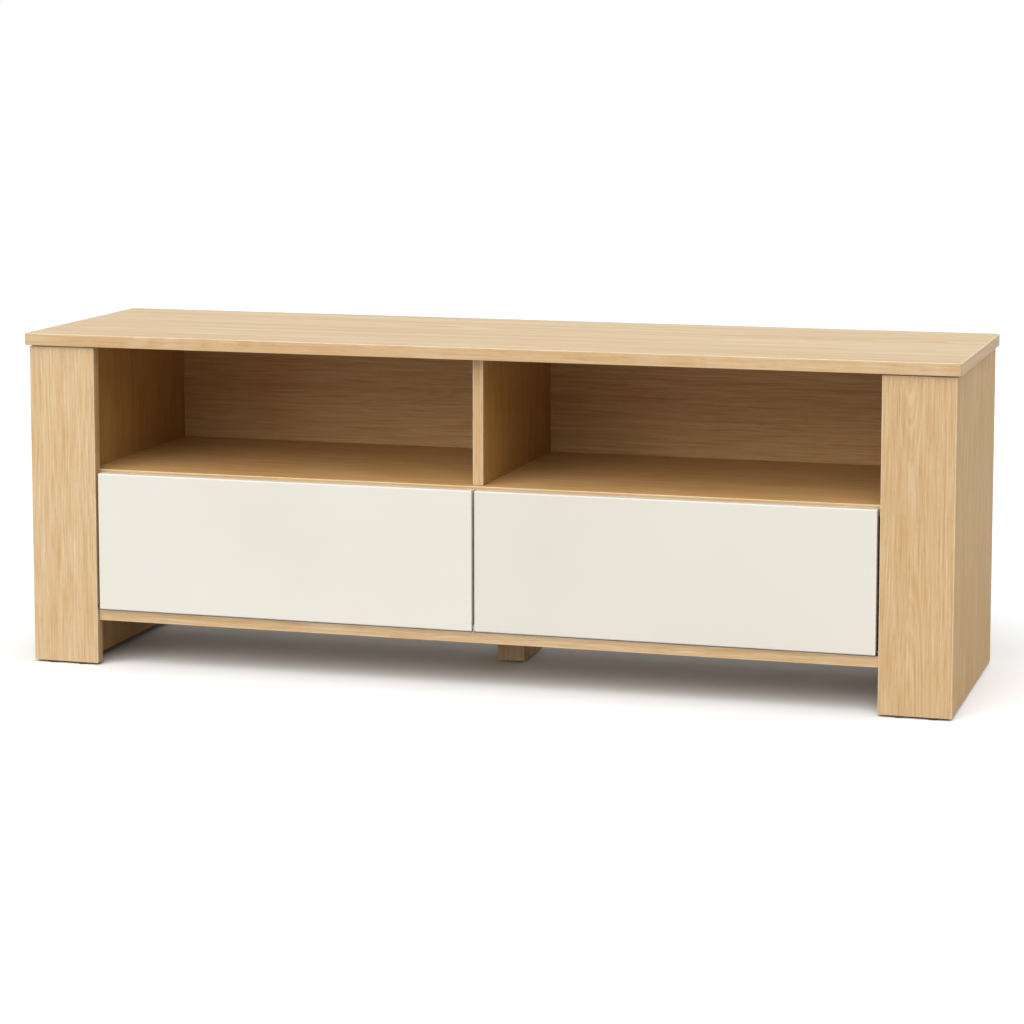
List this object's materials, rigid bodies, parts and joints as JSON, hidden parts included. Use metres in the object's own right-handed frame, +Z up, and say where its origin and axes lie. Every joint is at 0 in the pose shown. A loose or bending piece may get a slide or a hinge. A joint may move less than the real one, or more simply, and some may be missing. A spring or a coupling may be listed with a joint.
{
  "type": "tv stand",
  "caption": "Low oak-look TV bench on two wide box legs and a small centre leg, with open bays above plain white drop-down flap doors.",
  "frame": {"origin": "on the floor at the middle of the footprint, the bottom centre of the bounding box", "axes": "+X to the right along the width, +Y to the rear so the flaps face -Y, +Z up"},
  "size_m": [1.4, 0.405, 0.5],
  "materials": {
    "oak_foil": "light oak foil with a matte lacquer",
    "white_lacquer": "warm off-white matte lacquer",
    "zinc_steel": "zinc-plated pressed steel",
    "black_nylon": "black moulded nylon",
    "pale_nylon": "pale moulded nylon",
    "clear_rubber": "translucent soft bumper"
  },
  "bodies": {
    "carcass": {"top_panel": "oak_foil", "bottom_panel": "oak_foil", "shelf": "oak_foil", "upper_divider": "oak_foil", "lower_divider": "oak_foil", "upper_back_panel": "oak_foil", "lower_back_panel": "oak_foil", "centre_leg": "oak_foil", "left_front_post": "oak_foil", "left_outer_panel": "oak_foil", "left_inner_panel": "oak_foil", "left_rear_post": "oak_foil", "right_front_post": "oak_foil", "right_outer_panel": "oak_foil", "right_inner_panel": "oak_foil", "right_rear_post": "oak_foil", "centre_leg_front_glide": "black_nylon", "centre_leg_rear_glide": "black_nylon", "left_front_inner_glide": "black_nylon", "left_front_outer_glide": "black_nylon", "left_rear_inner_glide": "black_nylon", "left_rear_outer_glide": "black_nylon", "right_front_inner_glide": "black_nylon", "right_front_outer_glide": "black_nylon", "right_rear_inner_glide": "black_nylon", "right_rear_outer_glide": "black_nylon", "centre_pivot_bracket": "zinc_steel", "left_post_bush": "pale_nylon", "left_latch_housing": "pale_nylon", "left_outer_stay_stud": "zinc_steel", "left_inner_stay_stud": "zinc_steel", "left_outer_bumper": "clear_rubber", "left_inner_bumper": "clear_rubber", "right_post_bush": "pale_nylon", "right_latch_housing": "pale_nylon", "right_outer_stay_stud": "zinc_steel", "right_inner_stay_stud": "zinc_steel", "right_outer_bumper": "clear_rubber", "right_inner_bumper": "clear_rubber"},
    "left_flap": {"left_flap": "white_lacquer", "left_pivot_pin": "zinc_steel", "left_flap_bush": "pale_nylon", "left_outer_stay_bracket": "zinc_steel", "left_inner_stay_bracket": "zinc_steel", "left_strike_plate": "zinc_steel"},
    "left_outer_stay_arm": {"left_outer_stay_arm": "zinc_steel"},
    "left_inner_stay_arm": {"left_inner_stay_arm": "zinc_steel"},
    "left_latch_plunger": {"left_latch_plunger": "black_nylon"},
    "right_flap": {"right_flap": "white_lacquer", "right_pivot_pin": "zinc_steel", "right_flap_bush": "pale_nylon", "right_outer_stay_bracket": "zinc_steel", "right_inner_stay_bracket": "zinc_steel", "right_strike_plate": "zinc_steel"},
    "right_outer_stay_arm": {"right_outer_stay_arm": "zinc_steel"},
    "right_inner_stay_arm": {"right_inner_stay_arm": "zinc_steel"},
    "right_latch_plunger": {"right_latch_plunger": "black_nylon"}
  },
  "joints": [
    {"name": "left_flap_hinge", "type": "hinge", "parent": "carcass", "child": "left_flap", "pos_m": [-0.294, -0.1915, 0.091], "axis": [1, 0, 0], "range_deg": [0, 90]},
    {"name": "left_outer_stay_pivot", "type": "hinge", "parent": "left_flap", "child": "left_outer_stay_arm", "pos_m": [-0.579, -0.1685, 0.201], "axis": [1, 0, 0], "range_deg": [-45, 0]},
    {"name": "left_inner_stay_pivot", "type": "hinge", "parent": "left_flap", "child": "left_inner_stay_arm", "pos_m": [-0.016, -0.1685, 0.201], "axis": [1, 0, 0], "range_deg": [-45, 0]},
    {"name": "left_latch_press", "type": "slide", "parent": "carcass", "child": "left_latch_plunger", "axis": [0, 1, 0], "range_m": [0, 0.003], "stiffness_N_per_m": 400},
    {"name": "right_flap_hinge", "type": "hinge", "parent": "carcass", "child": "right_flap", "pos_m": [0.294, -0.1915, 0.091], "axis": [1, 0, 0], "range_deg": [0, 90]},
    {"name": "right_outer_stay_pivot", "type": "hinge", "parent": "right_flap", "child": "right_outer_stay_arm", "pos_m": [0.579, -0.1685, 0.201], "axis": [1, 0, 0], "range_deg": [-45, 0]},
    {"name": "right_inner_stay_pivot", "type": "hinge", "parent": "right_flap", "child": "right_inner_stay_arm", "pos_m": [0.016, -0.1685, 0.201], "axis": [1, 0, 0], "range_deg": [-45, 0]},
    {"name": "right_latch_press", "type": "slide", "parent": "carcass", "child": "right_latch_plunger", "axis": [0, 1, 0], "range_m": [0, 0.003], "stiffness_N_per_m": 400}
  ],
  "couplings": [
    {"joint": "left_outer_stay_pivot", "follows": "left_flap_hinge", "ratio": -0.5},
    {"joint": "left_inner_stay_pivot", "follows": "left_flap_hinge", "ratio": -0.5},
    {"joint": "right_outer_stay_pivot", "follows": "right_flap_hinge", "ratio": -0.5},
    {"joint": "right_inner_stay_pivot", "follows": "right_flap_hinge", "ratio": -0.5}
  ]
}
